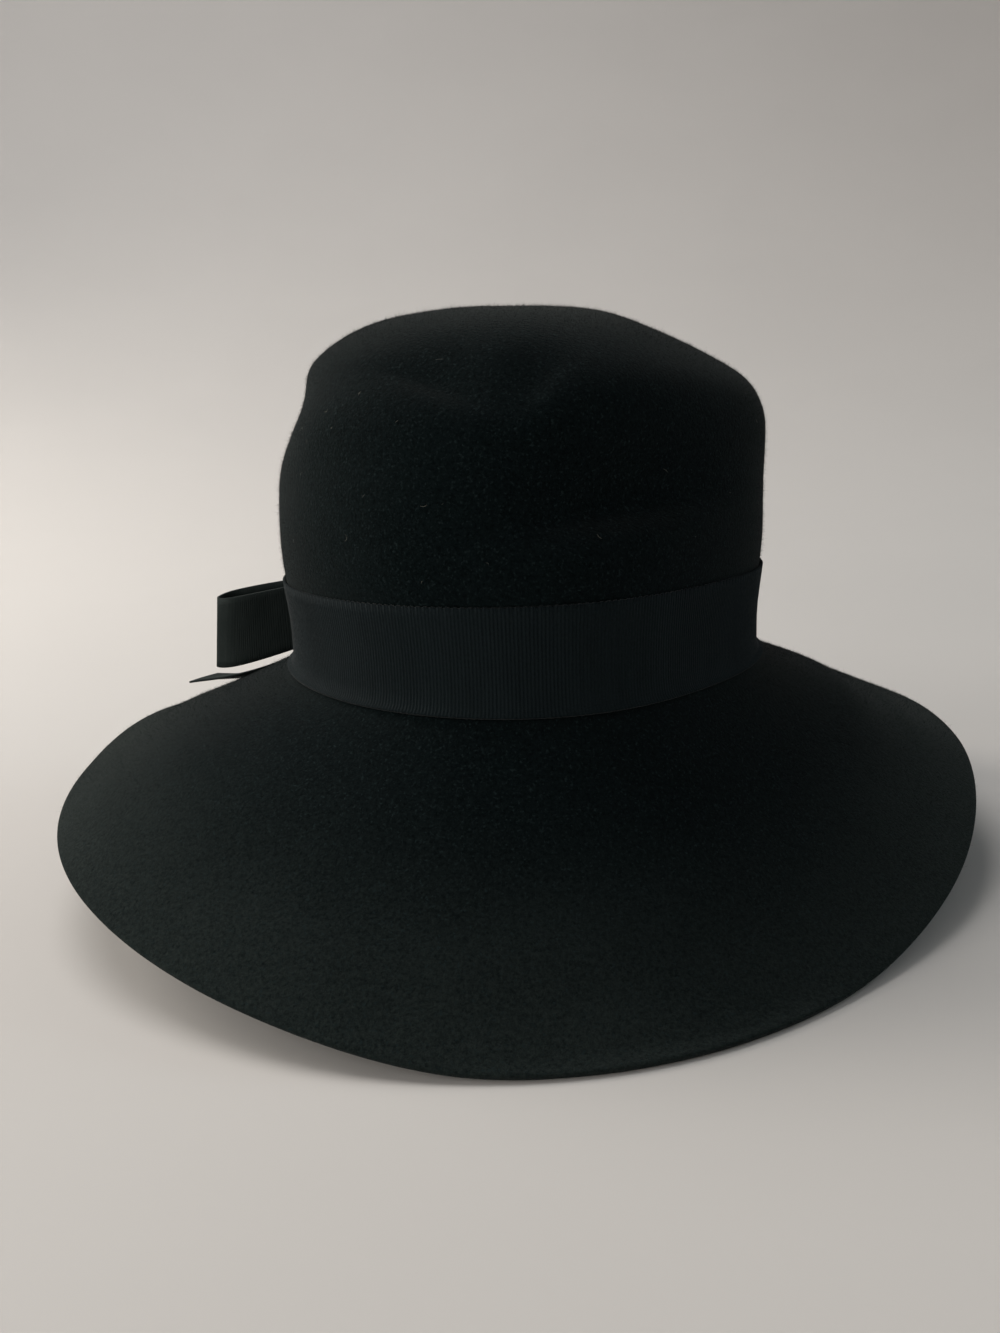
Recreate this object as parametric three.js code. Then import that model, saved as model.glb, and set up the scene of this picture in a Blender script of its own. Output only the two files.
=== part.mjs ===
// Felt cloche hat: one felt body, a ribbon band and a ribbon bow.
// Millimetres, +Z up, floor at Z 0. The front of the hat is at -Y.
import * as THREE from "three";

// Named sizes
const HEAD_WIDTH = 172; // head oval outside, side to side
const HEAD_LENGTH = 190; // head oval outside, front to back
const BREAK_HEIGHT = 77; // height of the line where crown and brim meet
const CROWN_HEIGHT = 125; // crown above that line
const BRIM_REACH = 76; // brim in plan
const BREAK_ROUND = 5; // bend between crown and brim
const FELT = 2.2; // felt thickness
const GAP = 0.35; // gap between pieces that touch
const RIBBON = 0.8; // ribbon thickness
const RIBBON_WIDTH = 34;
const COLUMNS = 84; // facets round the hat

// Crown outline: share of the crown height, share of the head oval, lean to the side as a
// share of the head width
const CROWN = [
  [0.0, 1.0, 0],
  [0.13, 1.0, 0],
  [0.26, 1.02, 0],
  [0.36, 1.03, 0],
  [0.48, 1.025, 0],
  [0.59, 1.01, 0],
  [0.69, 0.985, 0],
  [0.78, 0.92, 0],
  [0.86, 0.81, -0.025],
  [0.925, 0.65, -0.038],
  [0.97, 0.46, -0.04],
  [0.992, 0.23, -0.04],
  [1.0, 0.0, -0.04],
];

// Brim, every 30 degrees from +X: share of reach, share of drop, arch of the slope
const BRIM = [
  [1.09, 0.54, 0.0],
  [1.17, 0.52, 0.0],
  [1.08, 0.83, 0.0],
  [0.98, 1.07, 0.02],
  [1.08, 0.83, 0.0],
  [1.22, 0.51, -0.02],
  [1.16, 0.555, 0.02],
  [1.12, 0.65, 0.04],
  [1.015, 0.83, -0.02],
  [0.96, 1.0, -0.05],
  [0.945, 0.985, -0.05],
  [0.985, 0.81, -0.03],
];

// Flat places in the oval: turn in degrees, depth share, spread in degrees
const FLATS = [[310, 0.065, 28]];

// Dents: turn in degrees, share of crown height, slant of the long way in degrees, then as
// shares of the crown height: half length, half width above, half width below, depth
const DENTS = [
  [252, 0.79, -32, 0.2, 0.12, 0.05, 0.032],
  [272, 0.78, 50, 0.1, 0.09, 0.05, 0.02],
  [290, 0.475, 5, 0.3, 0.16, 0.06, 0.042],
  [190, 0.71, 0, 0.22, 0.1, 0.1, 0.032],
  [352, 0.68, 0, 0.22, 0.13, 0.14, -0.028],
];
const DENT_REACH = 0.36; // how far through the crown a dent is felt, as a share of its height

const RAD = Math.PI / 180;

// Smooth curve through four values
function blend(a, b, c, d, t) {
  const k = 2 * b + (c - a) * t + (2 * a - 5 * b + 4 * c - d) * t * t;
  return 0.5 * (k + (3 * b - a - 3 * c + d) * t * t * t);
}

function ringValue(column, turn) {
  const n = BRIM.length;
  const s = ((((turn / 360) % 1) + 1) % 1) * n;
  const i = Math.floor(s) % n;
  const at = (k) => BRIM[(i + k + n) % n][column];
  return blend(at(-1), at(0), at(1), at(2), s - Math.floor(s));
}

// Value of a table along its rows, ends carried on straight
function rowValue(rows, column, u) {
  const n = rows.length;
  const i = Math.max(0, Math.min(n - 2, Math.floor(u)));
  const at = (k) => {
    if (k < 0) return 2 * rows[0][column] - rows[1][column];
    if (k >= n) return 2 * rows[n - 1][column] - rows[n - 2][column];
    return rows[k][column];
  };
  return blend(at(i - 1), at(i), at(i + 1), at(i + 2), u - i);
}

// Crown height and reach, mirrored over the crown's top so that it closes round
function crownValue(column, u) {
  const n = CROWN.length;
  const i = Math.max(0, Math.min(n - 2, Math.floor(u)));
  const at = (k) => {
    if (k < 0) return 2 * CROWN[0][column] - CROWN[1][column];
    if (k >= n) return (column === 1 ? -1 : 1) * CROWN[2 * n - 2 - k][column];
    return CROWN[k][column];
  };
  return blend(at(i - 1), at(i), at(i + 1), at(i + 2), u - i);
}

function crownRow(up) {
  let low = 0;
  let high = CROWN.length - 1;
  for (let k = 0; k < 40; k++) {
    const mid = (low + high) / 2;
    if (crownValue(0, mid) < up) low = mid;
    else high = mid;
  }
  return (low + high) / 2;
}

function oval(turn) {
  const c = Math.cos(turn * RAD) / (HEAD_WIDTH / 2);
  const s = Math.sin(turn * RAD) / (HEAD_LENGTH / 2);
  let r = 1 / Math.sqrt(c * c + s * s);
  for (const [centre, depth, spread] of FLATS) {
    const d = ((((turn - centre + 180) % 360) + 360) % 360) - 180;
    r *= 1 - depth * Math.exp(-((d / spread) ** 2));
  }
  return r;
}

function plainCrown(turn, u) {
  const r = oval(turn) * crownValue(1, u);
  const x = r * Math.cos(turn * RAD) + HEAD_WIDTH * crownValue(2, u);
  const z = BREAK_HEIGHT + CROWN_HEIGHT * crownValue(0, u);
  return new THREE.Vector3(x, r * Math.sin(turn * RAD), z);
}

// Each dent pushes the felt along the inward normal at its centre
const dentFrames = DENTS.map(([turn, up, slant, long, above, below, depth]) => {
  const u = crownRow(up);
  const centre = plainCrown(turn, u);
  const round = plainCrown(turn + 1, u).sub(plainCrown(turn - 1, u)).normalize();
  const rise = plainCrown(turn, u + 0.05).sub(plainCrown(turn, u - 0.05)).normalize();
  const out = new THREE.Vector3().crossVectors(round, rise).normalize();
  const c = Math.cos(slant * RAD);
  const s = Math.sin(slant * RAD);
  const along = round.clone().multiplyScalar(c).addScaledVector(rise, s);
  const across = rise.clone().multiplyScalar(c).addScaledVector(round, -s);
  const [length, high, low, deep] = [long, above, below, depth].map((v) => v * CROWN_HEIGHT);
  return { centre, along, across, out, length, high, low, deep };
});

function crown(turn, u) {
  const p = plainCrown(turn, u);
  const q = p.clone();
  for (const d of dentFrames) {
    const rel = p.clone().sub(d.centre);
    const a = rel.dot(d.along) / d.length;
    const w = rel.dot(d.across);
    const b = w / (w > 0 ? d.high : d.low);
    const n = rel.dot(d.out) / (DENT_REACH * CROWN_HEIGHT);
    q.addScaledVector(d.out, -d.deep * Math.exp(-a * a - b * b - n * n));
  }
  return q;
}

// Brim slope at one turn: share 0 at the break, 1 at the edge
function brimSlope(turn, share) {
  const reach = BRIM_REACH * ringValue(0, turn);
  const drop = BREAK_HEIGHT * ringValue(1, turn);
  const arch = ringValue(2, turn);
  const mx = reach / 2 + 2 * arch * drop;
  const mz = -drop / 2 + 2 * arch * reach;
  const k = 2 * share * (1 - share);
  return [k * mx + share * share * reach, k * mz - share * share * drop];
}

function brim(turn, share) {
  const [x, z] = brimSlope(turn, share);
  const r = oval(turn) * CROWN[0][1] + x;
  return new THREE.Vector3(r * Math.cos(turn * RAD), r * Math.sin(turn * RAD), BREAK_HEIGHT + z);
}

const ROUND_ROW = crownRow(BREAK_ROUND / CROWN_HEIGHT);
const ROUND_SHARE = BREAK_ROUND / (1.25 * BRIM_REACH);

// Outer felt surface: stage 0 to 1 crown from the top, 1 to 2 bend, 2 to 3 brim
function outer(turn, stage) {
  if (stage <= 1) {
    const top = CROWN.length - 1;
    return crown(turn, top + (ROUND_ROW - top) * stage);
  }
  if (stage >= 2) return brim(turn, ROUND_SHARE + (1 - ROUND_SHARE) * (stage - 2));
  const t = stage - 1;
  const a = crown(turn, ROUND_ROW);
  const b = brim(turn, 0);
  const c = brim(turn, ROUND_SHARE);
  return a
    .multiplyScalar((1 - t) * (1 - t))
    .addScaledVector(b, 2 * t * (1 - t))
    .addScaledVector(c, t * t);
}

function outward(turn, stage) {
  const low = Math.max(0, stage - 0.01);
  const high = Math.min(3, stage + 0.01);
  const down = outer(turn, high).sub(outer(turn, low));
  const round = outer(turn + 0.5, stage).sub(outer(turn - 0.5, stage));
  return new THREE.Vector3().crossVectors(down, round).normalize();
}

function skin(turn, stage, lift) {
  return outer(turn, stage).addScaledVector(outward(turn, stage), lift);
}

// Stages of the crown that lie at a height above the break
function stageAt(height) {
  const top = CROWN.length - 1;
  return (crownRow(height / CROWN_HEIGHT) - top) / (ROUND_ROW - top);
}

function meshFrom(name, points, faces, colour, roughness) {
  const g = new THREE.BufferGeometry();
  const flat = new Float32Array(points.length * 3);
  points.forEach((p, i) => p.toArray(flat, i * 3));
  g.setAttribute("position", new THREE.BufferAttribute(flat, 3));
  g.setIndex(faces.flat());
  g.computeVertexNormals();
  const material = new THREE.MeshStandardMaterial({ color: colour, roughness, metalness: 0 });
  material.name = name;
  const mesh = new THREE.Mesh(g, material);
  mesh.name = name;
  return mesh;
}

function quad(faces, a, b, c, d) {
  faces.push([a, b, c], [a, c, d]);
}

// Felt body: outer and inner skins, joined at the edge of the brim. Where the brim rests on
// the floor its last part lies flat there
const FLAT_STAGE = 2.98;

function feltBody() {
  const stages = [];
  for (let k = 1; k <= 15; k++) stages.push(k / 15);
  for (const t of [0.33, 0.67]) stages.push(1 + t);
  for (let k = 0; k <= 7; k++) stages.push(2 + k / 7);
  stages.splice(-1, 0, FLAT_STAGE);
  stages[0] = 0.5 / 12;
  stages[1] = 1.2 / 12;
  const points = [];
  const faces = [];
  const layer = (lift) => {
    const first = points.length;
    const pole = outer(0, 0);
    pole.z += lift;
    points.push(pole);
    for (const stage of stages) {
      for (let j = 0; j < COLUMNS; j++) {
        const p = skin((360 * j) / COLUMNS, stage, lift);
        p.z = Math.max(p.z, FELT + lift);
        points.push(p);
      }
    }
    return first;
  };
  const out = layer(0);
  const inn = layer(-FELT);
  const at = (first, row, j) => first + 1 + row * COLUMNS + (j % COLUMNS);
  for (let j = 0; j < COLUMNS; j++) {
    faces.push([out, at(out, 0, j), at(out, 0, j + 1)]);
    faces.push([inn, at(inn, 0, j + 1), at(inn, 0, j)]);
    for (let row = 0; row < stages.length - 1; row++) {
      quad(faces, at(out, row, j), at(out, row + 1, j), at(out, row + 1, j + 1), at(out, row, j + 1));
      quad(faces, at(inn, row, j), at(inn, row, j + 1), at(inn, row + 1, j + 1), at(inn, row + 1, j));
    }
    const last = stages.length - 1;
    quad(faces, at(out, last, j), at(inn, last, j), at(inn, last, j + 1), at(out, last, j + 1));
  }
  return meshFrom("felt_body", points, faces, 0x0c0f0f, 0.95);
}

// Ribbon band: from the bend of the brim up the crown
function hatBand() {
  const rows = [1.6, 1.3, 1.0, stageAt(RIBBON_WIDTH * 0.5), stageAt(RIBBON_WIDTH * 0.95)];
  const points = [];
  const faces = [];
  for (const lift of [GAP, GAP + RIBBON]) {
    for (const stage of rows) {
      for (let j = 0; j < COLUMNS; j++) points.push(skin((360 * j) / COLUMNS, stage, lift));
    }
  }
  const n = rows.length;
  const at = (side, row, j) => (side * n + row) * COLUMNS + (j % COLUMNS);
  for (let j = 0; j < COLUMNS; j++) {
    for (let row = 0; row < n - 1; row++) {
      quad(faces, at(1, row, j), at(1, row, j + 1), at(1, row + 1, j + 1), at(1, row + 1, j));
      quad(faces, at(0, row, j), at(0, row + 1, j), at(0, row + 1, j + 1), at(0, row, j + 1));
    }
    quad(faces, at(0, 0, j), at(0, 0, j + 1), at(1, 0, j + 1), at(1, 0, j));
    quad(faces, at(1, n - 1, j), at(1, n - 1, j + 1), at(0, n - 1, j + 1), at(0, n - 1, j));
  }
  return meshFrom("hat_band", points, faces, 0x15191a, 0.8);
}

// A strip of ribbon over a grid of centre points, with its own thickness
function strip(name, rows, columns, place, thick) {
  const points = [];
  const faces = [];
  const grid = [];
  for (let i = 0; i <= rows; i++) {
    for (let j = 0; j <= columns; j++) grid.push(place(i / rows, j / columns));
  }
  const cell = (i, j) => grid[i * (columns + 1) + j];
  for (const side of [1, -1]) {
    for (let i = 0; i <= rows; i++) {
      for (let j = 0; j <= columns; j++) {
        const a = cell(Math.min(rows, i + 1), j).clone().sub(cell(Math.max(0, i - 1), j));
        const b = cell(i, Math.min(columns, j + 1)).clone().sub(cell(i, Math.max(0, j - 1)));
        const normal = new THREE.Vector3().crossVectors(a, b).normalize();
        points.push(cell(i, j).clone().addScaledVector(normal, (side * thick) / 2));
      }
    }
  }
  const half = (rows + 1) * (columns + 1);
  const at = (side, i, j) => side * half + i * (columns + 1) + j;
  for (let i = 0; i < rows; i++) {
    for (let j = 0; j < columns; j++) {
      quad(faces, at(0, i, j), at(0, i + 1, j), at(0, i + 1, j + 1), at(0, i, j + 1));
      quad(faces, at(1, i, j), at(1, i, j + 1), at(1, i + 1, j + 1), at(1, i + 1, j));
    }
    quad(faces, at(0, i, 0), at(1, i, 0), at(1, i + 1, 0), at(0, i + 1, 0));
    quad(faces, at(0, i, columns), at(0, i + 1, columns), at(1, i + 1, columns), at(1, i, columns));
  }
  for (let j = 0; j < columns; j++) {
    quad(faces, at(0, 0, j), at(0, 0, j + 1), at(1, 0, j + 1), at(1, 0, j));
    quad(faces, at(0, rows, j), at(1, rows, j), at(1, rows, j + 1), at(0, rows, j + 1));
  }
  return meshFrom(name, points, faces, 0x15191a, 0.8);
}

// Bow on the band at the back left
const BOW_TURN = 135;
const LOOP_LENGTH = 65;
const LOOP_SPLAY = 30; // degrees away from the line along the crown
const LOOP_DROOP = 10; // degrees down
const LOOP_SKEW = 8; // lower edge of the loop's end ahead of the upper one
const KNOT_HALF = [7, 5, 11]; // along the crown, out from it, up

// Loop: share of length, share of length aside, share of ribbon width
const LOOP = [
  [0.113, 0.035, 0.58],
  [0.35, 0.12, 0.74],
  [0.65, 0.16, 0.82],
  [0.9, 0.14, 0.86],
  [1.0, 0.0, 0.86],
  [0.9, -0.14, 0.86],
  [0.65, -0.16, 0.82],
  [0.35, -0.12, 0.74],
  [0.113, -0.035, 0.58],
];

const TAIL_LENGTH = 69;
// Tail: share of length, width and lift over the brim as shares of the ribbon's width
const TAIL = [
  [0.0, 0.37, 0.045],
  [0.25, 0.52, 0.006],
  [0.5, 0.64, 0.003],
  [0.75, 0.71, 0.07],
  [1.0, 0.75, 0.2],
];

const knotOut = new THREE.Vector3(Math.cos(BOW_TURN * RAD), Math.sin(BOW_TURN * RAD), 0);
const knotRound = new THREE.Vector3(-knotOut.y, knotOut.x, 0);
const knotCentre = knotOut.clone().multiplyScalar(oval(BOW_TURN) * 1.01 + GAP * 2 + RIBBON + KNOT_HALF[1]);
knotCentre.z = BREAK_HEIGHT + RIBBON_WIDTH * 0.35;

function bowLoop(name, side) {
  const c = Math.cos(LOOP_SPLAY * RAD);
  const s = Math.sin(LOOP_SPLAY * RAD);
  const level = knotRound.clone().multiplyScalar(side * c).addScaledVector(knotOut, s);
  const aside = new THREE.Vector3(-level.y, level.x, 0);
  const along = level.clone().multiplyScalar(Math.cos(LOOP_DROOP * RAD));
  along.z = -Math.sin(LOOP_DROOP * RAD);
  const up = new THREE.Vector3().crossVectors(along, aside).normalize();
  if (up.z < 0) up.negate();
  const place = (t, w) => {
    const u = t * (LOOP.length - 1);
    const p = knotCentre.clone();
    const far = rowValue(LOOP, 0, u);
    p.addScaledVector(along, LOOP_LENGTH * far + LOOP_SKEW * (0.5 - w) * far);
    p.addScaledVector(aside, LOOP_LENGTH * rowValue(LOOP, 1, u));
    p.addScaledVector(up, RIBBON_WIDTH * rowValue(LOOP, 2, u) * (w - 0.5));
    return p;
  };
  return strip(name, 20, 3, place, RIBBON);
}

function bowKnot() {
  const points = [];
  const faces = [];
  const rings = 6;
  const around = 16;
  for (let i = 0; i <= rings; i++) {
    const v = i / rings;
    const waist = 1 - 0.12 * Math.cos((v - 0.5) * Math.PI);
    const edge = i === 0 || i === rings ? 0.72 : 1;
    for (let j = 0; j < around; j++) {
      const a = (2 * Math.PI * j) / around;
      const ca = Math.sign(Math.cos(a)) * Math.abs(Math.cos(a)) ** 0.6;
      const sa = Math.sign(Math.sin(a)) * Math.abs(Math.sin(a)) ** 0.6;
      const p = knotCentre.clone();
      p.addScaledVector(knotRound, KNOT_HALF[0] * ca * waist * edge);
      p.addScaledVector(knotOut, KNOT_HALF[1] * sa * edge);
      p.z += KNOT_HALF[2] * (2 * v - 1);
      points.push(p);
    }
  }
  const low = points.push(knotCentre.clone().setZ(knotCentre.z - KNOT_HALF[2])) - 1;
  const high = points.push(knotCentre.clone().setZ(knotCentre.z + KNOT_HALF[2])) - 1;
  for (let j = 0; j < around; j++) {
    const k = (j + 1) % around;
    for (let i = 0; i < rings; i++) {
      quad(faces, i * around + j, (i + 1) * around + j, (i + 1) * around + k, i * around + k);
    }
    faces.push([low, j, k]);
    faces.push([high, rings * around + k, rings * around + j]);
  }
  return meshFrom("bow_knot", points, faces, 0x15191a, 0.8);
}

// Height of the brim's upper face over a point in plan
function brimHeight(x, y) {
  const turn = Math.atan2(y, x) / RAD;
  const want = Math.hypot(x, y) - oval(turn) * CROWN[0][1];
  let low = 0;
  let high = 1.2;
  for (let k = 0; k < 40; k++) {
    const mid = (low + high) / 2;
    if (brimSlope(turn, mid)[0] < want) low = mid;
    else high = mid;
  }
  return BREAK_HEIGHT + brimSlope(turn, (low + high) / 2)[1];
}

function bowTail(name, side, curl) {
  const start = knotCentre.clone().addScaledVector(knotRound, side * KNOT_HALF[0] * 1.15);
  start.addScaledVector(knotOut, KNOT_HALF[1]);
  const heading = BOW_TURN + side * 38;
  const along = new THREE.Vector3(Math.cos(heading * RAD), Math.sin(heading * RAD), 0);
  const aside = new THREE.Vector3(-along.y, along.x, 0);
  const place = (t, w) => {
    const u = t * (TAIL.length - 1);
    const notch = 1 - 0.12 * (1 - Math.abs(2 * w - 1)) * t;
    const p = start.clone().addScaledVector(along, TAIL_LENGTH * rowValue(TAIL, 0, u) * notch);
    p.addScaledVector(aside, RIBBON_WIDTH * rowValue(TAIL, 1, u) * (w - 0.5));
    const lift = RIBBON_WIDTH * rowValue(TAIL, 2, u) * (t > 0.6 ? curl : 1);
    p.z = brimHeight(p.x, p.y) + GAP + RIBBON * 0.7 + lift;
    return p;
  };
  return strip(name, 10, 4, place, RIBBON);
}

const hat = new THREE.Group();
hat.name = "cloche_hat";
hat.add(feltBody());
hat.add(hatBand());
hat.add(bowLoop("bow_loop_front", 1));
hat.add(bowLoop("bow_loop_rear", -1));
hat.add(bowKnot());
hat.add(bowTail("bow_tail_front", 1, 1));
hat.add(bowTail("bow_tail_rear", -1, 0.4));

// The origin is under the middle of the whole hat
const box = new THREE.Box3().setFromObject(hat);
const middle = box.getCenter(new THREE.Vector3());
hat.userData.middle = [middle.x, middle.y];
for (const mesh of hat.children) mesh.geometry.translate(-middle.x, -middle.y, 0);

export default hat;
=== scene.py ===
"""Looks for the felt cloche hat: napped felt, a ribbed ribbon band and a ribbon bow.

Runs in Blender 4.5 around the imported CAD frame. Shapes are worked out in millimetres from the
same named sizes as the part and from its tables of shares, with sharper creases in the front of
the crown, and made in metres.
"""

import math

import bpy
import numpy as np
from mathutils import Matrix


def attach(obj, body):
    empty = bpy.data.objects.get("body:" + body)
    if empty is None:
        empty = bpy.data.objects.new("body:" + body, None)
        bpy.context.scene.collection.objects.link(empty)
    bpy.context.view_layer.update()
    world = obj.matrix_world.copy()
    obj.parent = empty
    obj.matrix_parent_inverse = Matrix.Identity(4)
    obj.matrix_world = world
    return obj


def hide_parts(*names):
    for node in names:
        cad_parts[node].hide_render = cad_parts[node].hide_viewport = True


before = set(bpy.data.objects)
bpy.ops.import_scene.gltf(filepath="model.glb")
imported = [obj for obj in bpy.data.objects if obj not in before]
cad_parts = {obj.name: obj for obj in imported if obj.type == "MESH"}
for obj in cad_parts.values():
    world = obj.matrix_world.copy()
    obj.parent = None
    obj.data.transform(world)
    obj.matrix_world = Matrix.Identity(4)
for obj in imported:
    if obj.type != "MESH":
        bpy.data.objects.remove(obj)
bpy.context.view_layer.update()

# Named sizes, millimetres
HEAD_WIDTH = 172
HEAD_LENGTH = 190
BREAK_HEIGHT = 77  # from the floor to the bend between crown and brim
CROWN_HEIGHT = 125  # from the bend to the top
BRIM_REACH = 76
BREAK_ROUND = 5  # how far the bend is rounded
FELT = 2.2
GAP = 0.35  # clear space between one piece and the next
RIBBON = 0.8  # thickness
RIBBON_WIDTH = 34
RIB = 1.1  # pitch of the ribs, a little closer on the loops
MIDDLE = (-2.53, 1.07)  # middle of the hat's box, from the middle of the head oval

# Crown outline: share of crown height, share of the head oval, lean as a share of head width
CROWN = np.array([
    (0.0, 1.0, 0.0),
    (0.13, 1.0, 0.0),
    (0.26, 1.02, 0.0),
    (0.36, 1.03, 0.0),
    (0.48, 1.025, 0.0),
    (0.59, 1.01, 0.0),
    (0.69, 0.985, 0.0),
    (0.78, 0.92, 0.0),
    (0.86, 0.81, -0.025),
    (0.925, 0.65, -0.038),
    (0.97, 0.46, -0.04),
    (0.992, 0.23, -0.04),
    (1.0, 0.0, -0.04),
])

# Brim, every 30 degrees from +X: share of reach, share of drop, arch of the slope
BRIM = np.array([
    (1.09, 0.54, 0.0),
    (1.17, 0.52, 0.0),
    (1.08, 0.83, 0.0),
    (0.98, 1.07, 0.02),
    (1.08, 0.83, 0.0),
    (1.22, 0.51, -0.02),
    (1.16, 0.555, 0.02),
    (1.12, 0.65, 0.04),
    (1.015, 0.83, -0.02),
    (0.96, 1.0, -0.05),
    (0.945, 0.985, -0.05),
    (0.985, 0.81, -0.03),
])

# Flat places in the oval: turn in degrees, depth share, spread in degrees
FLATS = [(310, 0.065, 28)]

# Dents: turn in degrees, share of crown height, slant of the long way in degrees, then as
# shares of the crown height: half length, half width above, half width below, depth
DENTS = [
    (252, 0.79, -32, 0.2, 0.12, 0.04, 0.028),
    (272, 0.78, 50, 0.1, 0.09, 0.05, 0.017),
    (289, 0.475, 5, 0.3, 0.17, 0.05, 0.085),
    (190, 0.71, 0, 0.22, 0.1, 0.1, 0.032),
    (352, 0.68, 0, 0.22, 0.13, 0.14, -0.028),
]
DENT_REACH = 0.36  # how far through the crown a dent is felt, as a share of its height

# Slight waves of handled felt: times round the hat, waves down a stage, start, height in mm
WAVES = [
    (2, 1.3, 0.4, 0.45),
    (3, 2.1, 2.2, 0.35),
    (5, 1.1, 4.0, 0.25),
    (7, 3.3, 1.1, 0.15),
]
FULL_WAVE = 6.28  # radians
# Fades of the waves, in stages: where they are gone and the length of the fade, or the length
# alone at the top and the edge
TOP_FADE = 0.25
RIBBON_FADE = (0.62, 0.15)
BEND_FADE = (2.1, 0.3)
EDGE_FADE = 0.3

# Bow: turns in degrees, lengths in millimetres
BOW_TURN = 135
LOOP_LENGTH = 65
LOOP_SPLAY = 30
LOOP_DROOP = 10
LOOP_SKEW = 8  # how much longer the lower edge of a loop is than its upper edge
KNOT_HALF = (7, 5, 11)  # half sizes round the crown, out from it and up
TAIL_LENGTH = 69
TAIL_SPLAY = 38

# Loop: share of length, share of length aside, share of ribbon width
LOOP = np.array([
    (0.113, 0.035, 0.58),
    (0.35, 0.12, 0.74),
    (0.65, 0.16, 0.82),
    (0.9, 0.14, 0.86),
    (1.0, 0.0, 0.86),
    (0.9, -0.14, 0.86),
    (0.65, -0.16, 0.82),
    (0.35, -0.12, 0.74),
    (0.113, -0.035, 0.58),
])

# Tail: share of length, width and lift over the brim as shares of the ribbon's width
TAIL = np.array([
    (0.0, 0.37, 0.045),
    (0.25, 0.52, 0.006),
    (0.5, 0.64, 0.003),
    (0.75, 0.71, 0.07),
    (1.0, 0.75, 0.2),
])

# Camera of the photo, from the middle of the head oval, millimetres and degrees
CAMERA_BACK = 414.3
CAMERA_RIGHT = -9.9
CAMERA_OVER_BREAK = 86.2
CAMERA_PITCH = 12.68
CAMERA_ROLL = -1.96
CAMERA_LENS = 39.6

HALVINGS = 40  # steps of a search by halving
MM = 0.001  # metres

rng = np.random.default_rng(7)


# Smooth tables
def blend(a, b, c, d, t):
    """Smooth curve through four values."""
    k = 2 * b + (c - a) * t + (2 * a - 5 * b + 4 * c - d) * t * t
    return 0.5 * (k + (3 * b - a - 3 * c + d) * t**3)


def ring_value(column, turn):
    """Smooth value of a column of the brim's table, round the hat."""
    n = len(BRIM)
    s = (turn / 360 % 1) * n
    i = np.floor(s).astype(int) % n
    v = BRIM[:, column]
    t = s - np.floor(s)
    return blend(v[(i - 1) % n], v[i], v[(i + 1) % n], v[(i + 2) % n], t)


def row_value(rows, column, u, past=None):
    """Smooth value at row u of a table, with past as the value after its last row."""
    v = rows[:, column]
    if past is None:
        past = 2 * v[-1] - v[-2]
    v = np.concatenate([[2 * v[0] - v[1]], v, [past]])
    i = np.clip(np.floor(u).astype(int), 0, len(rows) - 2)
    return blend(v[i], v[i + 1], v[i + 2], v[i + 3], u - i)


def crown_value(column, u):
    """Smooth value of the crown's outline, which goes on down the far side past its top."""
    before_top = CROWN[-2, column]
    return row_value(CROWN, column, u, -before_top if column == 1 else before_top)


def crown_row(up):
    """Row of the crown's outline at a share of its height, by halving."""
    low, high = 0.0, len(CROWN) - 1.0
    for _ in range(HALVINGS):
        mid = (low + high) / 2
        if crown_value(0, np.array(mid)) < up:
            low = mid
        else:
            high = mid
    return (low + high) / 2


# Felt surface
def oval(turn):
    """Distance from the middle to the head oval, with its flat places."""
    a = np.radians(turn)
    r = 1 / np.hypot(np.cos(a) / (HEAD_WIDTH / 2), np.sin(a) / (HEAD_LENGTH / 2))
    for centre, depth, spread in FLATS:
        d = (turn - centre + 180) % 360 - 180
        r = r * (1 - depth * np.exp(-((d / spread) ** 2)))
    return r


def from_turn(turn, r, z):
    a = np.radians(turn)
    return np.stack([r * np.cos(a), r * np.sin(a), z + 0 * r], -1)


def unit(v):
    return v / np.maximum(np.linalg.norm(v, axis=-1, keepdims=True), 1e-9)


def plain_crown(turn, u):
    """The crown without its dents."""
    height = BREAK_HEIGHT + CROWN_HEIGHT * crown_value(0, u)
    p = from_turn(turn, oval(turn) * crown_value(1, u), height)
    p[..., 0] += HEAD_WIDTH * crown_value(2, u)
    return p


def dent_frame(turn, up, slant, long, above, below, depth):
    """Place and directions of one dent: along it, across it and out of the felt."""
    turn = np.array(float(turn))
    u = np.array(crown_row(up))
    round_ = unit(plain_crown(turn + 1, u) - plain_crown(turn - 1, u))
    rise = unit(plain_crown(turn, u + 0.05) - plain_crown(turn, u - 0.05))
    c, s = math.cos(math.radians(slant)), math.sin(math.radians(slant))
    out = unit(np.cross(round_, rise))
    sizes = [CROWN_HEIGHT * share for share in (long, above, below, depth)]
    return plain_crown(turn, u), c * round_ + s * rise, c * rise - s * round_, out, *sizes


DENT_FRAMES = [dent_frame(*d) for d in DENTS]


def crown(turn, u):
    p = plain_crown(turn, u)
    q = p.copy()
    for centre, along, across, out, long, above, below, depth in DENT_FRAMES:
        rel = p - centre
        a = rel @ along / long
        w = rel @ across
        b = w / np.where(w > 0, above, below)
        n = rel @ out / (DENT_REACH * CROWN_HEIGHT)
        q -= (depth * np.exp(-a * a - b * b - n * n))[..., None] * out
    return q


def brim_slope(turn, share):
    """How far out and down the brim is at a share of its slope from the bend to the edge."""
    reach = BRIM_REACH * ring_value(0, turn)
    drop = BREAK_HEIGHT * ring_value(1, turn)
    arch = ring_value(2, turn)
    k = 2 * share * (1 - share)
    x = k * (reach / 2 + 2 * arch * drop) + share * share * reach
    z = k * (2 * arch * reach - drop / 2) - share * share * drop
    return x, z


def brim(turn, share):
    x, z = brim_slope(turn, share)
    return from_turn(turn, oval(turn) * CROWN[0, 1] + x, BREAK_HEIGHT + z)


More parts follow.
